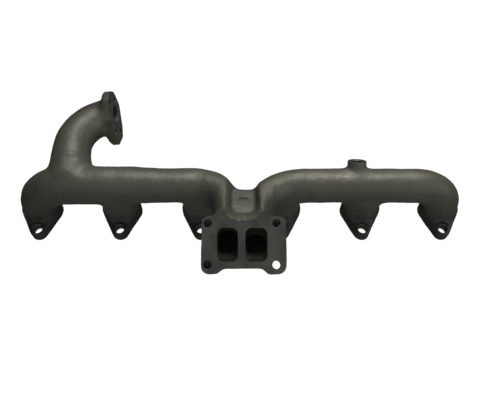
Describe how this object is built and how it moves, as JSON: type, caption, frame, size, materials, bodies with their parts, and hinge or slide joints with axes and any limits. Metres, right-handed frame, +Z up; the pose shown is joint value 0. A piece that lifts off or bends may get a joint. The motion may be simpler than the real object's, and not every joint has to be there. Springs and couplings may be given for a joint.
{
  "type": "exhaust manifold",
  "caption": "Cast-iron log exhaust manifold with diamond port flanges, a divided turbocharger flange and a recirculation elbow.",
  "frame": {"origin": "on the plane of the six port faces, midway between the third and fourth ports", "axes": "+X along the row of ports, +Y out of the port faces into the cylinder head, +Z up"},
  "size_m": [0.668, 0.1316, 0.3147],
  "materials": {
    "cast_iron_skin": "sand-cast skin with a thin khaki grey film",
    "cast_iron_dark": "dark sand-cast skin with spot-faced bolt seats",
    "machined_iron": "milled face, grey, with faint tool marks"
  },
  "bodies": {
    "root": {"port_flange_1": "cast_iron_dark", "port_flange_2": "cast_iron_dark", "port_flange_3": "cast_iron_dark", "port_flange_4": "cast_iron_dark", "port_flange_5": "cast_iron_dark", "port_flange_6": "cast_iron_dark", "runner_1": "cast_iron_skin", "runner_2": "cast_iron_skin", "runner_3": "cast_iron_skin", "runner_4": "cast_iron_skin", "runner_5": "cast_iron_skin", "runner_6": "cast_iron_skin", "log_left": "cast_iron_skin", "log_right": "cast_iron_skin", "neck_left": "cast_iron_skin", "neck_right": "cast_iron_skin", "turbo_flange": "machined_iron", "egr_riser": "cast_iron_skin", "egr_elbow": "cast_iron_skin", "egr_flange": "machined_iron", "sensor_boss": "cast_iron_skin"}
  },
  "joints": []
}
